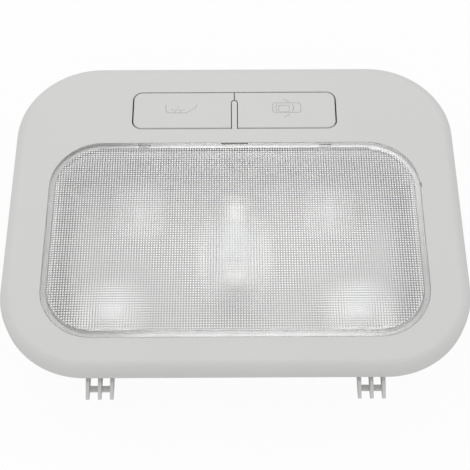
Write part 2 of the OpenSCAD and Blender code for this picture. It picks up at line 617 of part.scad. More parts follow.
// Bright steel trough between the bulb and the reflector's floor
module heat_shield() color(steel) along_bulb() {
    difference() {
        along_x(shield_l) intersection() {
            difference() {
                translate([0, -reflector_depth + shield_r + shield_t]) circle(shield_r + shield_t);
                translate([0, -reflector_depth + shield_r + shield_t]) circle(shield_r);
            }
            translate([-shield_w/2, -reflector_depth - 1]) square([shield_w, shield_r]);
        }
        for (s = [-1, 1]) translate([s*(shield_l/2 - 4), 0, -reflector_depth - 1]) cylinder(r = 1.2, h = 4);
    }
    for (s = [-1, 1]) translate([s*(shield_l/2 - 4), 0, -reflector_depth]) cylinder(r = 1.15, h = shield_t + 0.6);
}

module at_bulb() along_bulb() translate([0, 0, bulb_z]) children();

module bulb_glass() color([0.95, 0.97, 1, 0.4]) at_bulb() rotate([0, 90, 0]) rotate_extrude() difference() {
    union() {
        translate([0, -cap_x + bulb_shoulder_r]) square([bulb_r, 2*cap_x - 2*bulb_shoulder_r]);
        translate([0, -cap_x - 3]) square([cap_r - 0.5, 2*cap_x + 6]);
        for (s = [-1, 1]) intersection() {
            translate([bulb_r - bulb_shoulder_r, s*(cap_x - bulb_shoulder_r)]) circle(bulb_shoulder_r);
            translate([0, s*(cap_x - bulb_shoulder_r/2) - bulb_shoulder_r/2]) square([bulb_r, bulb_shoulder_r]);
        }
    }
    translate([-1, -cap_x + 2]) square([bulb_r - bulb_wall + 1, 2*cap_x - 4]);
}

module cap_form() rotate([0, 90, 0]) rotate_extrude() difference() {
    polygon([[0, cap_x], [cap_r, cap_x], [cap_r, cap_x + cap_l], [cap_tip_r, cap_x + cap_l + cap_cone_l], [0, cap_x + cap_l + cap_cone_l]]);
    translate([0, cap_x - 1]) square([cap_r - 0.45, 4.05]);
}

module bulb_cap_lower() color(steel) at_bulb() mirror([1, 0, 0]) cap_form();
module bulb_cap_upper() color(steel) at_bulb() cap_form();

module bulb_filament() color(steel) at_bulb() {
    near = filament_l/2 - 0.4;
    translate([-filament_l/2, 0, 0]) rotate([0, 90, 0]) coil(0.7, 0.2, 12, filament_l, 8, 6);
    for (s = [-1, 1]) translate([0, 0, -0.97]) rod_x(s < 0 ? -cap_x + 2.05 : near, s < 0 ? -near : cap_x - 2.05, 0.15);
}

module contact_form() translate([contact_x, 0, 0]) difference() {
    union() {
        translate([-contact_t/2, -contact_w/2, floor_z + bus_t]) cube([contact_t, contact_w, bulb_z - floor_z - bus_t]);
        translate([0, 0, bulb_z]) rod_x(-contact_t/2, contact_t/2, contact_w/2);
        translate([-contact_t/2, -contact_w/2, floor_z + bus_t]) cube([contact_foot, contact_w, contact_t]);
    }
    translate([0, 0, bulb_z]) rod_x(-2, 2, cone_r + 0.05);
}

module bulb_contact_upper() color(steel) along_bulb() contact_form();
module bulb_contact_lower() color(steel) along_bulb() mirror([1, 0, 0]) contact_form();

module case_form() at_lens() translate([-switch_x, plunger_y, 0]) difference() {
    translate([-case_w/2, -case_l/2, bay_floor_z]) cube([case_w, case_l, case_top_z - bay_floor_z]);
    translate([0, 0, bore_z0]) cylinder(r = plunger_r + plunger_fit, h = case_top_z - bore_z0 + 1);
}

module left_switch_case() color([0.2, 0.2, 0.22]) case_form();
module right_switch_case() color([0.2, 0.2, 0.22]) mirror([1, 0, 0]) case_form();

module plunger_form() at_lens() translate([-switch_x, plunger_y, plunger_z0]) cylinder(r = plunger_r, h = plunger_l);
module left_plunger() color([0.75, 0.2, 0.15]) plunger_form();
module right_plunger() color([0.75, 0.2, 0.15]) mirror([1, 0, 0]) plunger_form();

module spring_form() at_lens() translate([-switch_x, plunger_y, bore_z0]) coil(plunger_r - spring_wire/2 - 0.1, spring_wire, spring_turns, plunger_z0 - bore_z0, 12, 6);
module left_plunger_spring() color(steel) spring_form();
module right_plunger_spring() color(steel) mirror([1, 0, 0]) spring_form();

// Strip that follows a stepped path in side view
module strip(x, w) translate([x, 0, 0]) along_x(w) children();

module pin(i) translate([i*pin_pitch - pin_w/2, socket_y - bus_t/2, -bay_depth - pin_l]) cube([pin_w, bus_t, pin_l + housing_t + bus_t]);

// Side view of a strip that runs along the tray's floor from y0, steps over the rolled edge and climbs its wall to z1
module climb(y0, z1) {
    step_y = wall_y - housing_roll_r + housing_t - 0.2;
    step_z = floor_z + 3.4;
    translate([y0, floor_z]) square([step_y - y0, bus_t]);
    translate([step_y - bus_t, floor_z]) square([bus_t, step_z + bus_t - floor_z]);
    translate([step_y - bus_t, step_z]) square([wall_y - 0.4 - step_y + bus_t, bus_t]);
    translate([wall_y - 0.4 - bus_t, step_z]) square([bus_t, z1 + bus_t - step_z]);
}

// Crossbar on the tray's floor that a contact's foot is welded to
module under_foot(y0, x0, x1) translate([x0, y0, floor_z]) cube([x1 - x0, contact_foot, bus_t]);

module busbar_supply() color(brass) at_lens() {
    z1 = bay_floor_z + 0.3;
    y1 = bay_y0 + housing_t + 0.2;
    under_foot(lower_foot_y, -busbar_x - bus_w/2, contact_w/2);
    strip(-busbar_x, bus_w) {
        climb(lower_foot_y, z1);
        translate([wall_y - 0.4 - bus_t, z1]) square([y1 + bus_w - wall_y + 0.4 + bus_t, bus_t]);
    }
    translate([-busbar_x, y1, z1]) cube([busbar_x - pin_pitch, bus_w, bus_t]);
    translate([-pin_pitch - pin_w/2, y1, z1]) cube([pin_w, socket_y + bus_t/2 - y1, bus_t]);
    pin(-1);
}

module busbar_common() color(brass) at_lens() {
    under_foot(upper_foot_y, -contact_w/2, busbar_x + bus_w/2);
    strip(busbar_x, bus_w) {
        climb(upper_foot_y, common_z);
        translate([wall_y - 0.4 - bus_t, common_z]) square([case_y0 - wall_y + 0.4 + bus_t, bus_t]);
    }
    translate([-switch_x - 3, case_y0 - bus_t, common_z - 1.5]) cube([2*switch_x + 6, bus_t, bus_t + 1.5]);
}

// From the far side of one switch case down to the bay floor and across to its pin
module switch_return(sx, i) {
    translate([sx*switch_x - 2, case_y1, bay_floor_z]) cube([4, bus_t, 6]);
    translate([min(sx*switch_x, i*pin_pitch) - (sx < 0 ? 2 : pin_w/2), case_y1, bay_floor_z]) cube([abs(sx*switch_x - i*pin_pitch) + 2 + pin_w/2, 2, bus_t]);
    translate([i*pin_pitch - pin_w/2, socket_y - bus_t/2, bay_floor_z]) cube([pin_w, case_y1 + 2 - socket_y + bus_t/2, bus_t]);
    pin(i);
}

module busbar_ground() color(brass) at_lens() switch_return(-1, 0);
module busbar_door() color(brass) at_lens() switch_return(1, 1);

module screw_form(l) {
    cylinder(r = screw_head_r, h = screw_head_h);
    translate([0, 0, -l]) cylinder(r = screw_r, h = l + e);
}

module housing_screws() color(steel) at_lens() for (p = ears_at)
    translate([p[0], p[1], flange_z - flange_t]) mirror([0, 0, 1]) screw_form(flange_t + plate_z - boss_z - 0.8);

module lamp_screws() color(steel) at_lens() for (p = lamp_screws_at)
    translate([p[0], p[1], -reflector_depth + lamp_boss_h]) screw_form(lamp_boss_h - reflector_depth - floor_z - 0.6);

// Spring-steel clip that straddles its post and bulges outward to grip the roof panel
module roof_clip(s) {
    y1 = bezel_l/2 - post_inset;
    y0 = y1 - post_t;
    translate([s*clip_x, 0, 0]) along_x(clip_w) {
        polygon([[y0 - clip_t, 1.5], [y0 - 0.02, 1.5], [y0 - 0.02, -clip_depth + 2.98], [y1 + 0.02, -clip_depth + 2.98], [y1 + clip_bulge, -clip_depth/2], [y1 + 0.6, -0.8], [y1 + 1.2, -0.5], [y1 + 0.6 + clip_bulge, -clip_depth/2], [y1 + 0.6, -clip_depth + 2.98 - clip_t], [y0 - clip_t, -clip_depth + 2.98 - clip_t]]);
    }
}

module roof_clip_left() color(steel) roof_clip(-1);
module roof_clip_right() color(steel) roof_clip(1);

bezel();
lens();
rear_housing();
foam_pads();
reflector();
heat_shield();
bulb_glass();
bulb_cap_lower();
bulb_cap_upper();
bulb_filament();
bulb_contact_lower();
bulb_contact_upper();
left_button();
right_button();
left_switch_case();
right_switch_case();
left_plunger();
right_plunger();
left_plunger_spring();
right_plunger_spring();
busbar_supply();
busbar_common();
busbar_ground();
busbar_door();
housing_screws();
lamp_screws();
roof_clip_left();
roof_clip_right();
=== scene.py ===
# %% [markdown]
# A roof lamp for a car, dressed in Blender.
# The lamp's solids come from the CAD frame and are never moved or reshaped.
# This script gives them their real finishes and makes the few pieces whose looks need more than a plain solid:
# the prismatic lens, the screws, the plunger springs and the signs on the two buttons.

# %% Load the lamp's frame
import json
import math

import bmesh
import bpy
from mathutils import Matrix, Vector


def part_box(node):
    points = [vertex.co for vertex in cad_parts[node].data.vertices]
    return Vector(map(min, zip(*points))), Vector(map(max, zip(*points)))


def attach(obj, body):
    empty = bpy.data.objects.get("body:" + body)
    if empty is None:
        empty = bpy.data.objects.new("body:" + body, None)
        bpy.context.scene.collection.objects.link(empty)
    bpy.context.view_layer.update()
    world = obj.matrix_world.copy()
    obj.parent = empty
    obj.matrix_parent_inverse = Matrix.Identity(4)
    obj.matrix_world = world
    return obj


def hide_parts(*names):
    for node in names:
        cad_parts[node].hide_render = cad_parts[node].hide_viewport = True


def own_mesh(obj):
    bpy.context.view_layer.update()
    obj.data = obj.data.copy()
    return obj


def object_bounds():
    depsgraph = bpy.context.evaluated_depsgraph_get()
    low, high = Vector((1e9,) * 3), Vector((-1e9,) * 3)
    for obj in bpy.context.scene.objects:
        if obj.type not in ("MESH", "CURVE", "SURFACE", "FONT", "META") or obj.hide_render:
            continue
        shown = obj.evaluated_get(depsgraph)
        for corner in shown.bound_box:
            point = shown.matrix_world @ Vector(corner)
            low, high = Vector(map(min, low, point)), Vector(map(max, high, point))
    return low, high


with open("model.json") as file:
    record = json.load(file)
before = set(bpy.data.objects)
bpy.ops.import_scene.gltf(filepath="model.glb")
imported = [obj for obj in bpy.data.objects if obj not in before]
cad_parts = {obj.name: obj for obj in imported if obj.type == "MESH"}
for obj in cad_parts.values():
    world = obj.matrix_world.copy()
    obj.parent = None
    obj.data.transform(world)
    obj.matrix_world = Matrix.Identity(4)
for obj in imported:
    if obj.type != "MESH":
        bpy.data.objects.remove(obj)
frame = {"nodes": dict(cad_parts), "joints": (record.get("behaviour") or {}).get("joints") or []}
cad_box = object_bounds()
nodes = frame["nodes"]
MM = 0.001
print("nodes:", len(nodes), "box in mm:", [[round(v / MM, 1) for v in corner] for corner in cad_box])

# %% [markdown]
# The photograph is a close product shot. The camera stands above the hook tabs and leans over the lamp, so
# the edge with the hook tabs looks wider than the one with the buttons, though both are equally wide.
# The camera is therefore placed by the perspective of the lens's square prisms, which fixes its height,
# distance and focal length together. It looks at the middle of the lens.

# %% Camera
ELEVATION = math.radians(60.9)
DISTANCE = 0.4158
ROLL = math.radians(-0.27)
SENSOR_WIDTH = 36
FOCAL_LENGTH = 83.83

lens_low, lens_high = (Vector(corner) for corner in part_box("lens"))
bezel_high = Vector(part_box("bezel")[1])
lens_high.x = -lens_low.x  # the stub of its gate stands out on the right
lens_middle = (lens_low + lens_high) / 2
lens_middle.z = bezel_high.z

camera_data = bpy.data.cameras.new("camera")
camera_data.sensor_width = SENSOR_WIDTH
camera_data.lens = FOCAL_LENGTH
camera = bpy.data.objects.new("camera", camera_data)
bpy.context.collection.objects.link(camera)
camera.matrix_world = (
    Matrix.Translation(lens_middle + DISTANCE * Vector((0, -math.cos(ELEVATION), math.sin(ELEVATION))))
    @ Matrix.Rotation(math.pi / 2 - ELEVATION, 4, "X")
    @ Matrix.Rotation(ROLL, 4, "Z")
)
bpy.context.scene.camera = camera
print("camera stands at", [round(v, 3) for v in camera.matrix_world.translation])

# %% [markdown]
# Colours are easiest to judge as the hex values of a picture editor, but a shader works with linear light.
# One function turns the first into the second, so every finish below can be written as it looks.
# A second one adds a node to a tree, sets its options and fills its sockets with numbers or links.
# Where a sum takes many nodes, a third one adds them from a table, in which each step has a name.

# %% Colour helper
def hex_colour(code):
    """The linear RGBA colour of an sRGB hex code such as #D0D0CF."""
    values = [int(code[i:i + 2], 16) / 255 for i in (1, 3, 5)]
    return tuple(v / 12.92 if v <= 0.04045 else ((v + 0.055) / 1.055) ** 2.4 for v in values) + (1.0,)


print("a mid grey:", [round(v, 3) for v in hex_colour("#808080")])


# %% Node helpers
def add(tree, kind, options=None, sockets=None):
    """Adds one node. options are its own settings, and each socket gets a plain value or another node's output."""
    node = tree.nodes.new(kind)
    for name, value in (options or {}).items():
        setattr(node, name, value)
    for name, value in (sockets or {}).items():
        if isinstance(value, bpy.types.NodeSocket):
            tree.links.new(value, node.inputs[name])
        else:
            node.inputs[name].default_value = value
    return node


def chain(tree, known, steps):
    """Adds a node for each step, which is its name, the node's kind, its operation and its inputs in order.
    A text among the inputs names an output in known, where each step's own output goes too."""
    for name, kind, operation, *inputs in steps:
        node = add(tree, kind, {"operation": operation} if operation else None,
                   {i: known[value] if isinstance(value, str) else value for i, value in enumerate(inputs)})
        known[name] = next(output for output in node.outputs if output.enabled)
    return known[name]


MATHS, VECTOR, COMBINE = "ShaderNodeMath", "ShaderNodeVectorMath", "ShaderNodeCombineXYZ"
print("kinds of node in the tables:", MATHS, VECTOR, COMBINE)


# %% Material helpers
def empty_material(name):
    """A material without nodes, and its node tree."""
    material = bpy.data.materials.new(name)
    material.use_nodes = True
    material.node_tree.nodes.clear()
    return material, material.node_tree


def dress(material, *names):
    """Puts a finish on CAD nodes."""
    for name in names:
        nodes[name].data.materials.clear()
        nodes[name].data.materials.append(material)
    print(material.name, "on", ", ".join(names))


print("nodes to dress:", ", ".join(sorted(nodes.keys())))

# %% [markdown]
# The bezel, the buttons and the housing are injection moulded. Their colour is the same all through, and
# the steel mould gives the surface its finish: spark-eroded steel leaves an even, matt grain a few tenths of
# a millimetre across, polished steel leaves a gloss.
# A bump from a fine noise carries the grain, a second, broad noise carries the slight flow marks
# that a large moulding has, and the roughness follows the grain a little.

# %% Moulded plastics
FLOW_MARK_WIDTH = 35 * MM
GRAIN_GLOSS = 0.06  # how far the grain moves the roughness up and down


def moulded(name, colour, roughness, grain_mm, grain_depth_mm, ior=1.5, flow=0.02):
    """Injection-moulded plastic with a mould grain of that width and depth. flow is how much lighter or
    darker its flow marks are."""
    material, tree = empty_material(name)
    place = add(tree, "ShaderNodeTexCoord").outputs["Object"]
    grain = add(tree, "ShaderNodeTexNoise", sockets={
        "Vector": place, "Scale": 1 / (grain_mm * MM), "Detail": 3.0, "Roughness": 0.6}).outputs["Fac"]
    marks = add(tree, "ShaderNodeTexNoise", sockets={
        "Vector": place, "Scale": 1 / FLOW_MARK_WIDTH, "Detail": 1.0}).outputs["Fac"]
    r, g, b, _ = hex_colour(colour)
    tint = add(tree, "ShaderNodeMix", {"data_type": "RGBA"}, {
        "Factor": marks,
        "A": (r * (1 - flow), g * (1 - flow), b * (1 - flow), 1),
        "B": (r * (1 + flow), g * (1 + flow), b * (1 + flow), 1)})
    gloss = add(tree, "ShaderNodeMapRange", sockets={
        "Value": grain, "To Min": roughness - GRAIN_GLOSS, "To Max": roughness + GRAIN_GLOSS})
    bump = add(tree, "ShaderNodeBump", sockets={
        "Height": grain, "Distance": grain_depth_mm * MM, "Strength": 1.0})
    shader = add(tree, "ShaderNodeBsdfPrincipled", sockets={
        "Base Color": tint.outputs["Result"], "Roughness": gloss.outputs["Result"],
        "IOR": ior, "Normal": bump.outputs["Normal"]})
    add(tree, "ShaderNodeOutputMaterial", sockets={"Surface": shader.outputs["BSDF"]})
    return material


# Light grey ABS with a fine spark-eroded grain: even, soft shading with almost no highlight
trim_abs = moulded(
    "matt grained ABS", "#D2D2D1", roughness=0.55, grain_mm=0.45, grain_depth_mm=0.012, ior=1.52)
dress(trim_abs, "bezel", "left_button", "right_button")
# White polypropylene straight from a plain tool: a little waxy
housing_pp = moulded(
    "moulded polypropylene", "#DEDEDB", roughness=0.42, grain_mm=0.9, grain_depth_mm=0.010, ior=1.49)
dress(housing_pp, "rear_housing")
# Glass-filled PBT of the switch cases: black with a dry surface
switch_pbt = moulded(
    "glass-filled black PBT", "#2B2B2D", roughness=0.5, grain_mm=0.3, grain_depth_mm=0.014, ior=1.57)
dress(switch_pbt, "left_switch_case", "right_switch_case")
# Acetal plungers: slippery, so they keep a soft shine
plunger_pom = moulded("red acetal", "#B5281F", roughness=0.3, grain_mm=0.6, grain_depth_mm=0.004, ior=1.48)
dress(plunger_pom, "left_plunger", "right_plunger")
# Closed-cell foam discs: dark and fully matt, with cells that show as a coarse grain
pad_foam = moulded(
    "closed-cell foam", "#3A3A3D", roughness=0.85, grain_mm=0.7, grain_depth_mm=0.15, ior=1.45, flow=0.06)
dress(pad_foam, "foam_pads")

# %% [markdown]
# The reflector is white polycarbonate that throws the bulb's light back out. Through the lens the photograph
# shows it as a mid grey with five soft bright areas, one over each lamp screw and one round the bulb.
# So its floor is written in the grey that it shows, a painted shade for the dim inside of the lamp, and a mask of
# five rounded spots paints those areas white, a painted light over the screw bosses and round the bulb.
# A spot's mask is the distance from its middle in parts of its reach, and the nearest spot wins.

# %% Reflector with painted shade and painted light spots
SPOT_EDGE = (1.1, 0.7)  # where a spot begins and where it is fully white, in parts of its reach
FAR_AWAY = 10.0  # farther than any point is from its nearest spot, in parts of that spot's reach
NO_HEIGHT = 1e6  # a reach along Z so long that height doesn't count

# Each spot's middle, from the middle of the lens, and its reach, both in millimetres
spots = []
for side in (-1, 1):
    spots.append(((side * 39, 24.5), (7, 8)))
    spots.append(((side * 48.5, -20.5), (11, 9)))
spots.append(((0, 3), (12, 19)))

# Highly filled white polycarbonate from a polished tool: glossy, with almost no grain. Its mid grey is painted
# shade for the dim inside of the lamp
reflector_pc = moulded(
    "glossy white polycarbonate", "#8E8E8C", roughness=0.22, grain_mm=1.5, grain_depth_mm=0.004,
    ior=1.58, flow=0.01)
tree = reflector_pc.node_tree
known = {"place": add(tree, "ShaderNodeTexCoord").outputs["Object"], "nearest": FAR_AWAY}
for (x, y), (reach_x, reach_y) in spots:
    chain(tree, known, (
        ("away", VECTOR, "SUBTRACT", "place", (x * MM, lens_middle.y + y * MM, 0)),
        ("share", VECTOR, "DIVIDE", "away", (reach_x * MM, reach_y * MM, NO_HEIGHT)),
        ("distance", VECTOR, "LENGTH", "share"),
        ("nearest", MATHS, "MINIMUM", "nearest", "distance")))
# The spots are painted light: this mask mixes white into the grey floor
within = add(tree, "ShaderNodeMapRange", {"interpolation_type": "SMOOTHSTEP"}, {
    "Value": known["nearest"], "From Min": SPOT_EDGE[0], "From Max": SPOT_EDGE[1]})
shader = tree.nodes["Principled BSDF"]
grained = shader.inputs["Base Color"].links[0].from_socket
painted_light_colour = add(tree, "ShaderNodeMix", {"data_type": "RGBA"}, {
    "Factor": within.outputs["Result"], "A": grained, "B": hex_colour("#FBFBFA")})
tree.links.new(painted_light_colour.outputs["Result"], shader.inputs["Base Color"])
dress(reflector_pc, "reflector")
print("painted light spots:", len(spots))

# %% [markdown]
# The metal pieces are stamped from strip, drawn as wire or turned and plated. Strip and wire carry fine
# lines along the direction they were pulled through the rolls or the die, so their noise is stretched
# along X. Plating is smooth and takes its tone from the plated metal.
# The metal round the bulb shows pale in the photograph, because it lies between white walls. So it is partly
# covered by a lacquer, which scatters light as paint does, where bare metal would mirror the dark gaps.

# %% Metals
PLATING_CLOUD = 0.4 * MM  # the width of the faint clouds in a plating
LINE_STRETCH = 0.05  # the lines are twenty times as long as wide
LINE_GLOSS = 0.25  # how far the lines move the roughness, in parts of it


def metal(name, colour, roughness, line_mm=None, line_depth_mm=0.003, bare=1.0):
    """Bare, plated or lacquered metal. line_mm is the distance between its rolling or drawing lines, and
    bare is the part that still mirrors."""
    material, tree = empty_material(name)
    place = add(tree, "ShaderNodeTexCoord").outputs["Object"]
    pitch = line_mm * MM if line_mm else PLATING_CLOUD
    stretch = LINE_STRETCH if line_mm else 1.0
    scaled = add(tree, "ShaderNodeMapping", sockets={
        "Vector": place, "Scale": (stretch / pitch, 1 / pitch, 1 / pitch)})
    lines = add(tree, "ShaderNodeTexNoise", sockets={
        "Vector": scaled.outputs["Vector"], "Scale": 1.0, "Detail": 2.0}).outputs["Fac"]
    gloss = add(tree, "ShaderNodeMapRange", sockets={
        "Value": lines, "To Min": roughness * (1 - LINE_GLOSS), "To Max": roughness * (1 + LINE_GLOSS)})
    bump = add(tree, "ShaderNodeBump", sockets={
        "Height": lines, "Distance": line_depth_mm * MM, "Strength": 1.0})
    shader = add(tree, "ShaderNodeBsdfPrincipled", sockets={
        "Base Color": hex_colour(colour), "Metallic": bare, "Roughness": gloss.outputs["Result"],
        "Normal": bump.outputs["Normal"]})
    add(tree, "ShaderNodeOutputMaterial", sockets={"Surface": shader.outputs["BSDF"]})
    return material


# Steel strip of the heat shield and the bulb's contacts under a lacquer with fine aluminium flakes: pale,
# with faint rolling lines
shield_steel = metal("aluminium-lacquered steel", "#FFFFFF", roughness=0.4, line_mm=0.3, bare=0.05)
dress(shield_steel, "heat_shield", "bulb_contact_lower", "bulb_contact_upper")
# Nickel on the bulb's end caps, drawn as a pale satin layer: smooth and slightly warm
cap_nickel = metal("nickel plating", "#F6F4EE", roughness=0.3, bare=0.35)
dress(cap_nickel, "bulb_cap_lower", "bulb_cap_upper")
# Drawn tungsten wire of the filament: dark grey
filament_tungsten = metal("drawn tungsten", "#8F8D8A", roughness=0.35, line_mm=0.1)
dress(filament_tungsten, "bulb_filament")
# Stamped brass strip of the busbars: yellow with fine rolling lines
busbar_brass = metal("stamped brass", "#D9BC78", roughness=0.28, line_mm=0.25)
dress(busbar_brass, "busbar_supply", "busbar_common", "busbar_ground", "busbar_door")
# Hardened and phosphated spring steel: grey and rather dull
clip_steel = metal("phosphated spring steel", "#A9ABAE", roughness=0.42, line_mm=0.3)
dress(clip_steel, "left_plunger_spring", "right_plunger_spring", "roof_clip_left", "roof_clip_right")
# Zinc plating on the screws: bright with a cold tone
screw_zinc = metal("bright zinc plating", "#E4E6E8", roughness=0.3, bare=0.8)
dress(screw_zinc, "housing_screws", "lamp_screws")

# %% [markdown]
# The lens is clear polycarbonate and the bulb is lightly frosted glass. Both bend what is seen through them,
# which a transmitting shader does by itself from the index of refraction. A path tracer can't find a lamp
# through glass by its shadow rays, so those rays alone see a plain transparent surface. Without that the
# inside of the lamp would stay too dark.

# %% Clear materials
HAZE_WIDTH = 8 * MM  # the width of the areas that are a little clearer or duller
HAZE_GLOSS = 0.3  # how far they move the roughness, in parts of it


def clear(name, colour, ior, roughness, clarity, shade):
    """Clear plastic or glass. clarity is the part of the light that passes straight instead of being
    thrown back, and shade the part of a lamp's light that its shadow rays let through."""
    material, tree = empty_material(name)
    place = add(tree, "ShaderNodeTexCoord").outputs["Object"]
    haze = add(tree, "ShaderNodeTexNoise", sockets={
        "Vector": place, "Scale": 1 / HAZE_WIDTH, "Detail": 2.0}).outputs["Fac"]
    gloss = add(tree, "ShaderNodeMapRange", sockets={
        "Value": haze, "To Min": roughness * (1 - HAZE_GLOSS), "To Max": roughness * (1 + HAZE_GLOSS)})
    glass = add(tree, "ShaderNodeBsdfPrincipled", sockets={
        "Base Color": hex_colour(colour), "Roughness": gloss.outputs["Result"], "IOR": ior,
        "Transmission Weight": clarity})
    passing = add(tree, "ShaderNodeBsdfTransparent", sockets={"Color": (shade, shade, shade, 1)})
    ray = add(tree, "ShaderNodeLightPath")
    mix = add(tree, "ShaderNodeMixShader", sockets={
        0: ray.outputs["Is Shadow Ray"], 1: glass.outputs["BSDF"], 2: passing.outputs["BSDF"]})
    add(tree, "ShaderNodeOutputMaterial", sockets={"Surface": mix.outputs["Shader"]})
    return material


# Drawn soda-lime glass with a light frosting: thin, and pale where it scatters the light
bulb_glass = clear("drawn bulb glass", "#FDFEFF", ior=1.52, roughness=0.1, clarity=0.45, shade=0.97)
dress(bulb_glass, "bulb_glass")

# %% [markdown]
# Each prism of the lens shows one bright dot. On a screen a prism is less than three pixels wide, too few for a
# dot by refraction alone, so the material paints the dot as a highlight: the crown of each cushion is made opaque
# white and throws light back instead of passing it. The mask is a wave across each pitch, in X and in Y, and a
# third factor keeps it to the outer face of the field.

# %% Lens polycarbonate with painted highlights on the crowns
CUSHION_PITCH = 1.0 * MM
CROWN_EDGE = (0.08, 0.4)  # where a crown begins and where it is full, in pitches from the valley
FACE_DEPTH = 0.02 * MM  # the crowns fade out within that depth below the field
LENS_COLOUR = "#FFFFFF"
LENS_CLARITY = 0.98
# A clarity of 0 makes each crown opaque white, a painted highlight
CROWN_CLARITY = 0.0

# Polycarbonate from a polished mould: water clear, with a high index, so its prisms bend light strongly
lens_pc = clear("clear polycarbonate", LENS_COLOUR, ior=1.585, roughness=0.16, clarity=LENS_CLARITY, shade=0.95)
tree = lens_pc.node_tree
lens_shader = tree.nodes["Principled BSDF"]
lens_place = add(tree, "ShaderNodeTexCoord").outputs["Object"]
units = (CUSHION_PITCH, CUSHION_PITCH, FACE_DEPTH)
field_middle = (lens_middle.x, lens_middle.y, lens_high.z)
counted = add(tree, "ShaderNodeMapping", sockets={
    "Vector": lens_place, "Scale": [1 / unit for unit in units],
    "Location": [-middle / unit for middle, unit in zip(field_middle, units)]})
across, along, height = add(tree, "ShaderNodeSeparateXYZ", sockets={0: counted.outputs[0]}).outputs
crown = add(tree, "ShaderNodeMapRange", sockets={
    "Value": height, "From Min": -1.0, "From Max": 0.0}).outputs["Result"]
for direction in (across, along):
    apart = add(tree, MATHS, {"operation": "PINGPONG"}, {0: direction, 1: 0.5}).outputs[0]
    wave = add(tree, "ShaderNodeMapRange", {"interpolation_type": "SMOOTHSTEP"}, {
        "Value": apart, "From Min": CROWN_EDGE[0], "From Max": CROWN_EDGE[1]})
    crown = add(tree, MATHS, {"operation": "MULTIPLY"}, {0: crown, 1: wave.outputs["Result"]}).outputs[0]
painted_highlight_clarity = add(tree, "ShaderNodeMapRange", sockets={
    "Value": crown, "To Min": LENS_CLARITY, "To Max": CROWN_CLARITY})
tree.links.new(painted_highlight_clarity.outputs["Result"], lens_shader.inputs["Transmission Weight"])
print("one crown each", CUSHION_PITCH / MM, "mm")

# %% [markdown]
# Round the field the lens has a smooth border, painted a light grey: a painted shade that dims it. The mask for
# that shade is the distance from a smaller rectangle: it is the same all along a rounded outline, so one threshold
# gives the whole border.

# %% Painted shade on the border of the lens
LENS_BORDER = 2.5 * MM
LENS_CORNER = 20 * MM
BORDER_FADE = 0.3 * MM
# The border's light grey is painted shade
BORDER_SHADE_COLOUR = "#E4E4E4"

field_corner = LENS_CORNER - LENS_BORDER
field_size = [lens_high[i] - lens_low[i] - 2 * LENS_BORDER for i in (0, 1)]
inner_half = [(lens_high[i] - lens_low[i]) / 2 - LENS_BORDER - field_corner for i in (0, 1)]
from_inner = chain(tree, {"place": lens_place}, (
    ("away", VECTOR, "SUBTRACT", "place", lens_middle),
    ("either side", VECTOR, "ABSOLUTE", "away"),
    ("beyond", VECTOR, "SUBTRACT", "either side", (*inner_half, 1.0)),  # 1 m takes height out of it
    ("outwards", VECTOR, "MAXIMUM", "beyond", (0, 0, 0)),
    ("distance", VECTOR, "LENGTH", "outwards")))
on_border = add(tree, "ShaderNodeMapRange", sockets={
    "Value": from_inner, "From Min": field_corner - BORDER_FADE, "From Max": field_corner + BORDER_FADE})
lens_border_shade = add(tree, "ShaderNodeMix", {"data_type": "RGBA"}, {
    "Factor": on_border.outputs["Result"], "A": hex_colour(LENS_COLOUR), "B": hex_colour(BORDER_SHADE_COLOUR)})
tree.links.new(lens_border_shade.outputs["Result"], lens_shader.inputs["Base Color"])
print("field of the lens:", [round(v / MM, 1) for v in field_size], "mm")

# %% [markdown]
# The face of the lens is covered by thousands of small square cushions. Each is a tiny lens of its own, so it
# breaks up the view of the bulb and spreads its light. They repeat on a strict grid, so Geometry Nodes make
# them: a fine grid of cells is raised by the same rounded rise across each cushion in both directions, and
# the cushions outside the rounded field are thrown away. A flat strip closes their stepped outline to the
# smooth outline of the field.

# %% Geometry Nodes helpers
def geometry_tree(name, inputs):
    """An empty geometry tree with named inputs, given as {name: socket type}, and its inputs by name."""
    tree = bpy.data.node_groups.new(name, "GeometryNodeTree")
    for label, kind in inputs.items():
        tree.interface.new_socket(label, in_out="INPUT", socket_type="NodeSocket" + kind)
    tree.interface.new_socket("Geometry", in_out="OUTPUT", socket_type="NodeSocketGeometry")
    return tree, {socket.name: socket for socket in tree.nodes.new("NodeGroupInput").outputs}


def end_tree(tree, geometry, material):
    """Ends a geometry tree: its instances become real and get their material."""
    real = add(tree, "GeometryNodeRealizeInstances", sockets={0: geometry}).outputs[0]
    finished = add(tree, "GeometryNodeSetMaterial", sockets={"Geometry": real, "Material": material}).outputs[0]
    add(tree, "NodeGroupOutput", sockets={"Geometry": finished})


def made_by(tree, name, values, mesh=None):
    """A new object whose mesh is what the tree makes with those input values. The modifier is gone afterwards."""
    piece = bpy.data.objects.new(name, mesh or bpy.data.meshes.new(name))
    bpy.context.collection.objects.link(piece)
    modifier = piece.modifiers.new("maker", "NODES")
    modifier.node_group = tree
    for item in tree.interface.items_tree:
        if item.item_type == "SOCKET" and item.in_out == "INPUT" and item.name in values:
            modifier[item.identifier] = values[item.name]
    result = bpy.data.meshes.new_from_object(piece.evaluated_get(bpy.context.evaluated_depsgraph_get()))
    piece.modifiers.remove(modifier)
    piece.data = result
    result.name = name
    return piece


def triangles(piece):
    """How many triangles a piece has."""
    return sum(len(face.vertices) - 2 for face in piece.data.polygons)


print("triangles of the CAD lens:", triangles(nodes["lens"]))

# %% Grid of cells
cushion_tree, known = geometry_tree("cushion field", {
    "Width": "Float", "Length": "Float", "Corner": "Float", "Pitch": "Float",
    "Rise": "Float", "Steps": "Int", "Margin": "Float", "Material": "Material"})

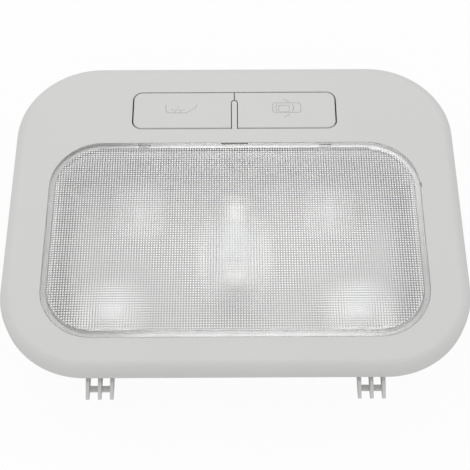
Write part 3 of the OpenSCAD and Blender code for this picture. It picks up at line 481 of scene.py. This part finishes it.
# A whole number of cushions fits inside the field, and each has the same number of steps
chain(cushion_tree, known, (
    ("size", COMBINE, None, "Width", "Length"),
    ("pitch", COMBINE, None, "Pitch", "Pitch"),
    ("margin", COMBINE, None, "Margin", "Margin"),
    ("both margins", VECTOR, "ADD", "margin", "margin"),
    ("room", VECTOR, "SUBTRACT", "size", "both margins"),
    ("room in pitches", VECTOR, "DIVIDE", "room", "pitch"),
    ("cells", VECTOR, "FLOOR", "room in pitches"),
    ("grid size", VECTOR, "MULTIPLY", "cells", "pitch"),
    ("steps", COMBINE, None, "Steps", "Steps"),
    ("faces", VECTOR, "MULTIPLY", "cells", "steps"),
    ("points", VECTOR, "ADD", "faces", (1, 1, 0))))
size = add(cushion_tree, "ShaderNodeSeparateXYZ", sockets={0: known["grid size"]}).outputs
points = add(cushion_tree, "ShaderNodeSeparateXYZ", sockets={0: known["points"]}).outputs
grid = add(cushion_tree, "GeometryNodeMeshGrid", sockets={
    "Size X": size[0], "Size Y": size[1], "Vertices X": points[0], "Vertices Y": points[1]}).outputs["Mesh"]
print("nodes for the grid:", len(cushion_tree.nodes))

# %% Cushions inside the rounded outline
# Where a point lies across its cushion, from 0 to 1 in each direction, and how far the far corner of that
# cushion lies beyond a rectangle whose corners are the centres of the rounded corners
known["position"] = add(cushion_tree, "GeometryNodeInputPosition").outputs[0]
chain(cushion_tree, known, (
    ("start", VECTOR, "DIVIDE", "grid size", (2, 2, 1)),
    ("from start", VECTOR, "ADD", "position", "start"),
    ("counted", VECTOR, "DIVIDE", "from start", "pitch"),
    ("across", VECTOR, "FRACTION", "counted"),
    ("whole", VECTOR, "FLOOR", "counted"),
    ("middle", VECTOR, "ADD", "whole", (0.5, 0.5, 0)),
    ("middle in metres", VECTOR, "MULTIPLY", "middle", "pitch"),
    ("from centre", VECTOR, "SUBTRACT", "middle in metres", "start"),
    ("either side", VECTOR, "ABSOLUTE", "from centre"),
    ("half pitch", VECTOR, "DIVIDE", "pitch", (2, 2, 1)),
    ("far corner", VECTOR, "ADD", "either side", "half pitch"),
    ("half size", VECTOR, "DIVIDE", "size", (2, 2, 1)),
    ("corner", COMBINE, None, "Corner", "Corner"),
    ("core", VECTOR, "SUBTRACT", "half size", "corner"),
    ("beyond", VECTOR, "SUBTRACT", "far corner", "core"),
    ("outwards", VECTOR, "MAXIMUM", "beyond", (0, 0, 0)),
    ("distance", VECTOR, "LENGTH", "outwards"),
    ("radius", MATHS, "SUBTRACT", "Corner", "Margin")))
outside = add(cushion_tree, "FunctionNodeCompare", {"data_type": "FLOAT", "operation": "GREATER_THAN"}, {
    0: known["distance"], 1: known["radius"]}).outputs[0]
field = add(cushion_tree, "GeometryNodeDeleteGeometry", {"domain": "FACE"}, {
    "Geometry": grid, "Selection": outside}).outputs[0]
print("nodes up to the outline:", len(cushion_tree.nodes))

# %% Rounded rise of a cushion
# The rise is 4u(1-u) in each direction, a shallow arch, and the two are added
chain(cushion_tree, known, (
    ("rest", VECTOR, "SUBTRACT", (1, 1, 0), "across"),
    ("product", VECTOR, "MULTIPLY", "across", "rest"),
    ("arches", VECTOR, "MULTIPLY", "product", (4, 4, 0))))
known["arch x"], known["arch y"] = add(
    cushion_tree, "ShaderNodeSeparateXYZ", sockets={0: known["arches"]}).outputs[0:2]
chain(cushion_tree, known, (
    ("both arches", MATHS, "ADD", "arch x", "arch y"),
    ("height", MATHS, "MULTIPLY", "both arches", "Rise"),
    ("lift", COMBINE, None, 0.0, 0.0, "height")))
raised = add(cushion_tree, "GeometryNodeSetPosition", sockets={
    "Geometry": field, "Offset": known["lift"]}).outputs[0]

# Normals run smoothly over a cushion and break in the valleys, where an edge's middle lies on a whole pitch
VALLEY = 0.49
chain(cushion_tree, known, (
    ("off middle", VECTOR, "SUBTRACT", "across", (0.5, 0.5, 0)),
    ("aside", VECTOR, "ABSOLUTE", "off middle")))
known["aside x"], known["aside y"] = add(
    cushion_tree, "ShaderNodeSeparateXYZ", sockets={0: known["aside"]}).outputs[0:2]
furthest = chain(cushion_tree, known, (("furthest", MATHS, "MAXIMUM", "aside x", "aside y"),))
valley = add(cushion_tree, "FunctionNodeCompare", {"data_type": "FLOAT", "operation": "GREATER_THAN"}, {
    0: furthest, 1: VALLEY}).outputs[0]
smooth = add(cushion_tree, "GeometryNodeSetShadeSmooth", {"domain": "FACE"}, {
    "Geometry": raised, "Shade Smooth": True}).outputs[0]
creased = add(cushion_tree, "GeometryNodeSetShadeSmooth", {"domain": "EDGE"}, {
    "Geometry": smooth, "Selection": valley, "Shade Smooth": False}).outputs[0]
print("nodes up to the rise:", len(cushion_tree.nodes))

# %% Flat strip round the cushions
# It fills the space between the stepped edge of the cells and the outline of the field
CORNER_POINTS = 16
neighbours = add(cushion_tree, "GeometryNodeInputMeshEdgeNeighbors").outputs[0]
single = add(cushion_tree, "FunctionNodeCompare", {"data_type": "INT", "operation": "EQUAL"}, {
    2: neighbours, 3: 1}).outputs[0]
stepped = add(cushion_tree, "GeometryNodeMeshToCurve", sockets={
    "Mesh": field, "Selection": single}).outputs[0]
oblong = add(cushion_tree, "GeometryNodeCurvePrimitiveQuadrilateral", sockets={
    0: known["Width"], 1: known["Length"]}).outputs[0]
outline = add(cushion_tree, "GeometryNodeFilletCurve", {"mode": "POLY"}, {
    "Curve": oblong, "Radius": known["Corner"], "Limit Radius": True, "Count": CORNER_POINTS}).outputs[0]
both = add(cushion_tree, "GeometryNodeJoinGeometry")
for curve in (stepped, outline):
    cushion_tree.links.new(curve, both.inputs[0])
strip = add(cushion_tree, "GeometryNodeFillCurve", sockets={0: both.outputs[0]}).outputs[0]

whole = add(cushion_tree, "GeometryNodeJoinGeometry")
for surface in (creased, strip):
    cushion_tree.links.new(surface, whole.inputs[0])
end_tree(cushion_tree, whole.outputs[0], known["Material"])
print("nodes in the whole tree:", len(cushion_tree.nodes))

# %% Cushion field
CUSHION_RISE = 0.12 * MM
CUSHION_STEPS = 3
FLAT_MARGIN = 0.3 * MM

cushions = made_by(cushion_tree, "cushion_field", {
    "Width": field_size[0], "Length": field_size[1], "Corner": field_corner, "Pitch": CUSHION_PITCH,
    "Rise": CUSHION_RISE, "Steps": CUSHION_STEPS, "Margin": FLAT_MARGIN, "Material": lens_pc})
cushions.data.transform(Matrix.Translation(field_middle))
print("cushion field:", triangles(cushions), "triangles")

# %% [markdown]
# The lens has to be one closed body, because a ray that passes from one clear solid into another
# that touches it is bent twice. So the CAD lens is copied, the flat top of its field is taken off, and the
# cushion field is joined on in its place. The copy then stands for the CAD node.

# %% Lens body
WELD = 0.002 * MM
HAIR = 0.01 * MM
ON_FIELD = 0.001 * MM
UPWARDS = 0.99  # a face whose normal has at least this Z looks up
LENS_PLATE = 2.2 * MM
SEAT_GAP = 0.03 * MM
SMOOTH_BELOW = math.radians(20)

lens_mesh = bmesh.new()
lens_mesh.from_mesh(nodes["lens"].data)
bmesh.ops.remove_doubles(lens_mesh, verts=lens_mesh.verts, dist=WELD)
top = [face for face in lens_mesh.faces
       if face.normal.z > UPWARDS and face.calc_center_median().z > lens_high.z - HAIR]
print("flat top taken off:", len(top), "faces")
bmesh.ops.delete(lens_mesh, geom=top, context="FACES")
lens_mesh.from_mesh(cushions.data)
bpy.data.objects.remove(cushions)
bmesh.ops.remove_doubles(lens_mesh, verts=lens_mesh.verts, dist=WELD)

# %% Lens normals and seat
# The strip's faces are turned up, and the underside of the plate is lifted off its seat in the bezel
for face in lens_mesh.faces:
    if abs(face.calc_center_median().z - lens_high.z) < ON_FIELD and face.normal.z < 0:
        face.normal_flip()
seat = bezel_high.z - LENS_PLATE
for vert in lens_mesh.verts:
    if abs(vert.co.z - seat) < HAIR:
        vert.co.z += SEAT_GAP
for face in lens_mesh.faces:
    face.smooth = True
for edge in lens_mesh.edges:
    if max(vert.co.z for vert in edge.verts) < lens_high.z - ON_FIELD:
        edge.smooth = len(edge.link_faces) == 2 and edge.calc_face_angle() < SMOOTH_BELOW
loose = [edge for edge in lens_mesh.edges if len(edge.link_faces) == 1]
print("open edges of the lens:", len(loose))

# %% Lens piece
lens_piece = bpy.data.objects.new("prismatic_lens", bpy.data.meshes.new("prismatic_lens"))
bpy.context.collection.objects.link(lens_piece)
lens_mesh.to_mesh(lens_piece.data)
lens_mesh.free()
lens_piece.data.materials.append(lens_pc)
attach(lens_piece, "lamp")
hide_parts("lens")
print("lens:", triangles(lens_piece), "triangles")

# %% [markdown]
# Two sets of four thread-forming screws hold the lamp together. Each has a pan head with a cross recess for the
# driver and a coarse thread that cuts its own way into plastic. One screw is turned from a profile: its surface
# is a grid that runs round the axis and down from the middle of the head to the tip.

# %% Head of a screw
ROUND = 48
HEAD_RADIUS = 2.9 * MM
HEAD_HEIGHT = 2.0 * MM
RECESS_REACH = 1.7 * MM
RECESS_HALF_WIDTH = 0.42 * MM
RECESS_DEPTH = 1.3 * MM
RECESS_SIDE_SLOPE = 0.12 * MM
RECESS_END_SLOPE = 0.9 * MM
# Distance from the axis and height above the seat, in parts of the head's radius and height
HEAD_PROFILE = (
    (0.0, 1.0), (0.1, 1.0), (0.2, 1.0), (0.3, 0.99), (0.4, 0.98), (0.5, 0.97), (0.6, 0.95),
    (0.72, 0.91), (0.84, 0.83), (0.94, 0.68), (1.0, 0.45), (1.0, 0.06), (0.96, 0.0))


def recess(x, y):
    """How deep the cross recess is at that place of the head."""
    narrow, wide = sorted((abs(x), abs(y)))
    side = min(1.0, max(0.0, (RECESS_HALF_WIDTH - narrow) / RECESS_SIDE_SLOPE))
    end = min(1.0, max(0.0, (RECESS_REACH - wide) / RECESS_END_SLOPE))
    return RECESS_DEPTH * side * end


def head_rings():
    """The rings of points of a screw's head, from its middle to its underside."""
    for share, height in HEAD_PROFILE:
        ring = []
        for i in range(ROUND):
            angle = math.tau * i / ROUND
            x, y = share * HEAD_RADIUS * math.cos(angle), share * HEAD_RADIUS * math.sin(angle)
            ring.append((x, y, height * HEAD_HEIGHT - recess(x, y)))
        yield ring


print("depth of the recess:", round(recess(0, 0) / MM, 2), "mm")

# %% Shank of a screw
SHANK_RADIUS = 1.25 * MM
THREAD_PITCH = 1.2 * MM
THREAD_DEPTH = 0.22 * MM
THREAD_FLANK = 2.5  # the groove is at its full depth 1 / 2.5 of a pitch away from the crest
TURN_ROWS = 8  # rows of points for each turn of the thread
TIP_SHARE = 0.35  # the tip's radius in parts of the shank's
TIP_LENGTH = 1.5 * SHANK_RADIUS


def shank_rings(length):
    """The rings of points of a screw's threaded shank, from the head down to the pointed tip."""
    rows = round(length / THREAD_PITCH * TURN_ROWS)
    for row in range(rows + 1):
        z = -length * row / rows
        point = min(1.0, TIP_SHARE + (length + z) / TIP_LENGTH)
        ring = []
        for i in range(ROUND):
            turn = (z / THREAD_PITCH + i / ROUND) % 1.0
            radius = (SHANK_RADIUS - THREAD_DEPTH * min(1.0, THREAD_FLANK * abs(turn - 0.5))) * point
            ring.append((radius * math.cos(math.tau * i / ROUND), radius * math.sin(math.tau * i / ROUND), z))
        yield ring


print("rings in a shank of 8 mm:", len(list(shank_rings(8 * MM))))

# %% One screw
SCREW_WELD = 0.001 * MM
SCREW_SMOOTH_BELOW = math.radians(40)


def screw(name, length):
    """A screw that stands with its head's underside at z = 0 and its tip at z = -length."""
    rings = [*head_rings(), *shank_rings(length)]
    verts = [vert for ring in rings for vert in ring]
    last = (len(rings) - 1) * ROUND
    faces = []
    for start in range(0, last, ROUND):
        for i in range(ROUND):
            after = (i + 1) % ROUND
            faces.append((start + i, start + ROUND + i, start + ROUND + after, start + after))
    faces.append(tuple(last + i for i in reversed(range(ROUND))))
    mesh = bpy.data.meshes.new(name)
    mesh.from_pydata(verts, [], faces)
    made = bmesh.new()
    made.from_mesh(mesh)
    bmesh.ops.remove_doubles(made, verts=made.verts, dist=SCREW_WELD)
    bmesh.ops.recalc_face_normals(made, faces=made.faces)
    for face in made.faces:
        face.smooth = True
    for edge in made.edges:
        edge.smooth = len(edge.link_faces) == 2 and edge.calc_face_angle() < SCREW_SMOOTH_BELOW
    made.to_mesh(mesh)
    made.free()
    piece = bpy.data.objects.new(name, mesh)
    bpy.context.collection.objects.link(piece)
    return piece


print("a screw is", round(2 * HEAD_RADIUS / MM, 1), "mm wide over its head")

# %% [markdown]
# Geometry Nodes put a copy of the screw on each place. The places are the vertices of a small mesh, and
# the screws of the housing are turned over, because they are driven in from the back.

# %% Screws in their places
screw_tree, known = geometry_tree("screw set", {
    "Places": "Geometry", "Screw": "Object", "Rotation": "Vector", "Material": "Material"})
one = add(screw_tree, "GeometryNodeObjectInfo", sockets={"Object": known["Screw"]}).outputs["Geometry"]
placed = add(screw_tree, "GeometryNodeInstanceOnPoints", sockets={
    "Points": known["Places"], "Instance": one, "Rotation": known["Rotation"]}).outputs[0]
end_tree(screw_tree, placed, known["Material"])


def screw_set(name, node, places, seat, length, rotation):
    """The screws of one CAD node, on those places, with their heads' undersides at the height of the seat."""
    pattern = screw(name + "_pattern", length)
    mesh = bpy.data.meshes.new(name + "_places")
    mesh.from_pydata([(x, y, seat) for x, y in places], [], [])
    piece = made_by(screw_tree, name, {"Screw": pattern, "Rotation": rotation, "Material": screw_zinc}, mesh)
    bpy.data.objects.remove(pattern)
    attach(piece, "lamp")
    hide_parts(node)
    print(name, "has", len(places), "screws and", triangles(piece), "triangles")


# %% Housing screws
low, high = (Vector(corner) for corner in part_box("housing_screws"))
columns = (low.x + HEAD_RADIUS, high.x - HEAD_RADIUS)
rows = (low.y + HEAD_RADIUS, high.y - HEAD_RADIUS)
places = [(x, y) for x in columns for y in rows]
seat = low.z + HEAD_HEIGHT
screw_set("housing_screw_set", "housing_screws", places, seat, high.z - seat, (math.pi, 0, 0))

# %% Lamp screws
# The upper two stand closer together than the lower two, so the node's box gives only the lower ones' X
UPPER_SCREW_X = 39 * MM
low, high = (Vector(corner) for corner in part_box("lamp_screws"))
places = [(side * UPPER_SCREW_X, high.y - HEAD_RADIUS) for side in (-1, 1)]
places += [(x, low.y + HEAD_RADIUS) for x in (low.x + HEAD_RADIUS, high.x - HEAD_RADIUS)]
seat = high.z - HEAD_HEIGHT
screw_set("lamp_screw_set", "lamp_screws", places, seat, seat - low.z, (0, 0, 0))

# %% [markdown]
# Each plunger sits on a coil spring that shortens as the button pushes it down. A copy of the CAD coil stands for
# the node, and its length and the travel of the plunger's joint are printed.

# %% Plunger springs
for joint in frame["joints"]:
    if joint["name"].endswith("_plunger_slide"):
        side = joint["name"].split("_")[0]
        node = f"{side}_plunger_spring"
        low, high = (Vector(corner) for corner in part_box(node))
        travel = joint["range_m"][1] - joint["range_m"][0]
        length = high.z - low.z
        coil = bpy.data.objects.new(f"{side}_spring_coil", nodes[node].data.copy())
        bpy.context.collection.objects.link(coil)
        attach(coil, "lamp")
        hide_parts(node)
        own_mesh(coil)
        print(coil.name, "is", round(length / MM, 2), "mm long and shortens by", round(travel / MM, 2), "mm")

# %% [markdown]
# Each button carries a sign that says what it switches: a lamp under a car's roof, and a car with its doors
# open. The real ones are burnt in by a laser, which leaves fine lines a little darker and smoother than the
# grained plastic. Each stroke is a flat ribbon along a short path, drawn here as a curve with a shallow
# round section and then made a mesh.

# %% Strokes of the signs
# Points in millimetres on the buttons' face, one path for each stroke
roof_lamp = (
    ((-27.9, 48.0), (-27.75, 45.0), (-27.3, 44.2), (-26.6, 44.0), (-20.1, 43.9), (-18.9, 44.3), (-15.8, 46.6),
     (-15.1, 48.0)),
    ((-24.2, 44.1), (-24.1, 44.9), (-23.6, 45.5), (-22.95, 45.7), (-22.3, 45.5), (-21.8, 44.9), (-21.7, 44.1)),
    ((-22.95, 46.5), (-22.95, 47.2)),
    ((-24.8, 45.2), (-25.7, 45.8)),
    ((-21.1, 45.2), (-20.3, 45.7)),
)
open_doors = (
    ((15.6, 44.6), (15.5, 46.3), (15.6, 48.2), (16.4, 48.7), (26.2, 48.7), (26.9, 48.0), (27.0, 46.2),
     (26.9, 44.5), (26.2, 43.9), (16.4, 43.8), (15.6, 44.6)),
    ((18.0, 47.4), (18.0, 44.3), (22.2, 44.3), (22.2, 47.4), (18.0, 47.4)),
    ((17.2, 48.0), (16.8, 46.3), (17.2, 44.3)),
    ((23.6, 48.0), (24.1, 46.3), (23.6, 44.3)),
    ((22.5, 49.3), (19.8, 50.4)),
    ((22.4, 43.0), (20.1, 41.5)),
)
print("strokes:", len(roof_lamp), "and", len(open_doors))

# %% Signs on the buttons
STROKE = 0.17 * MM
STROKE_FLATNESS = 0.25
STROKE_SUNK = 0.01 * MM

# ABS that a laser has foamed up and darkened: a little smoother than the grain round it
sign_line = moulded("laser-marked ABS", "#A9A9A8", roughness=0.4, grain_mm=0.3, grain_depth_mm=0.004, ior=1.52)


def sign(name, strokes, body):
    """A sign on a button's face, one raised line for each stroke, riding on the button."""
    curve = bpy.data.curves.new(name, "CURVE")
    curve.dimensions = "3D"
    curve.bevel_depth = STROKE
    curve.bevel_resolution = 1
    curve.use_fill_caps = True
    for points in strokes:
        spline = curve.splines.new("POLY")
        spline.points.add(len(points) - 1)
        for point, (x, y) in zip(spline.points, points):
            point.co = (x * MM, y * MM, 0, 1)
    source = bpy.data.objects.new(name + "_path", curve)
    bpy.context.collection.objects.link(source)
    mesh = bpy.data.meshes.new_from_object(source.evaluated_get(bpy.context.evaluated_depsgraph_get()))
    bpy.data.objects.remove(source)
    flatten = Matrix.Diagonal((1, 1, STROKE_FLATNESS, 1))
    mesh.transform(Matrix.Translation((0, 0, bezel_high.z - STROKE_SUNK)) @ flatten)
    piece = bpy.data.objects.new(name, mesh)
    bpy.context.collection.objects.link(piece)
    mesh.materials.clear()
    mesh.materials.append(sign_line)
    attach(piece, body)
    print(name, "has", len(strokes), "strokes and rides on", body)


sign("roof_lamp_sign", roof_lamp, "left_rocker")
sign("open_doors_sign", open_doors, "right_rocker")

# %% [markdown]
# The floor is a sweep of white paper. In the photograph it is pure white, so the camera's rays, and those
# that pass through the lens, see it almost as a lit screen, and only a faint shadow is left. To all other
# rays it is plain paper, so it lights the lamp from below as paper does.

# %% Paper floor
FLOOR_SIZE = 3.0
FLOOR_GAP = 0.02 * MM
PAPER_GLOW = 0.94  # how much of the paper's colour is its own white where it is seen directly
WHITE = (1, 1, 1, 1)

floor_mesh = bpy.data.meshes.new("paper_floor")
half = FLOOR_SIZE / 2
floor_corners = [(-half, -half, 0), (half, -half, 0), (half, half, 0), (-half, half, 0)]
floor_mesh.from_pydata(floor_corners, [], [(0, 1, 2, 3)])
floor_mesh.transform(Matrix.Translation((0, 0, cad_box[0][2] - FLOOR_GAP)))
floor = bpy.data.objects.new("paper_floor", floor_mesh)
bpy.context.collection.objects.link(floor)

paper, tree = empty_material("white paper")
rays = add(tree, "ShaderNodeLightPath").outputs
lit = add(tree, "ShaderNodeBsdfDiffuse", sockets={"Color": hex_colour("#F4F4F4")})
glow = add(tree, "ShaderNodeEmission", sockets={"Color": WHITE, "Strength": 1.0})
share = chain(tree, {"camera": rays["Is Camera Ray"], "through": rays["Is Transmission Ray"]}, (
    ("seen", MATHS, "MAXIMUM", "camera", "through"),
    ("share", MATHS, "MULTIPLY", "seen", PAPER_GLOW)))
mix = add(tree, "ShaderNodeMixShader", sockets={0: share, 1: lit.outputs[0], 2: glow.outputs[0]})
add(tree, "ShaderNodeOutputMaterial", sockets={"Surface": mix.outputs[0]})
floor_mesh.materials.append(paper)
print("floor at z =", round(cad_box[0][2], 4))

# %% [markdown]
# The world is a white studio. It lights matt surfaces at one level, shows a little brighter in glossy ones
# and as pure white to the camera. A ray through rough glass counts as glossy too, so the level for rays
# through the lens overrides that of mirrored ones.

# %% White studio
AMBIENT = 0.82
MIRRORED = 1.0
THROUGH_LENS = 0.85

world = bpy.data.worlds.new("white studio")
bpy.context.scene.world = world
world.use_nodes = True
tree = world.node_tree
tree.nodes.clear()
rays = add(tree, "ShaderNodeLightPath").outputs
mirrored = add(tree, "ShaderNodeMapRange", sockets={
    "Value": rays["Is Glossy Ray"], "To Min": AMBIENT, "To Max": MIRRORED})
inside = add(tree, "ShaderNodeMapRange", sockets={
    "Value": rays["Is Transmission Ray"], "To Min": mirrored.outputs["Result"], "To Max": THROUGH_LENS})
level = add(tree, MATHS, {"operation": "MAXIMUM"}, {0: inside.outputs["Result"], 1: rays["Is Camera Ray"]})
around = add(tree, "ShaderNodeBackground", sockets={"Color": WHITE, "Strength": level.outputs[0]})
add(tree, "ShaderNodeOutputWorld", sockets={"Surface": around.outputs[0]})
print("ambient level", AMBIENT)

# %% [markdown]
# The real shot was lit by one wide soft box behind the lamp and a little to the left. The rolled edge that
# faces the camera is darker than the face, and the right side of the face is darker than the left.
# An area light has just that softness: the larger it is, the softer the shading.
# A smaller box, higher up, shows only in shiny surfaces. It gives the lens its sheen and leaves the rest alone.

# %% Soft boxes
def soft_box(name, place, size, watts, only_mirrored=False):
    """A square area light that looks at the middle of the lens. With only_mirrored it shows in shiny
    surfaces without lighting matt ones."""
    lamp = bpy.data.lights.new(name, "AREA")
    lamp.shape = "SQUARE"
    lamp.size = size
    lamp.energy = watts
    holder = bpy.data.objects.new(name, lamp)
    bpy.context.collection.objects.link(holder)
    place = Vector(place)
    turn = (lens_middle - place).to_track_quat("-Z", "Y").to_matrix().to_4x4()
    holder.matrix_world = Matrix.Translation(place) @ turn
    if only_mirrored:
        holder.visible_diffuse = holder.visible_transmission = False
    print(name, "at", tuple(round(v, 2) for v in place), "with", watts, "W")


soft_box("soft_box", (-0.35, 0.75, 0.95), size=0.9, watts=2.2)
soft_box("overhead_box", (0.04, 0.50, 0.92), size=0.35, watts=3.2, only_mirrored=True)

# %% [markdown]
# Standard view transform keeps each colour as it is written.

# %% Finish
bpy.context.scene.view_settings.view_transform = "Standard"
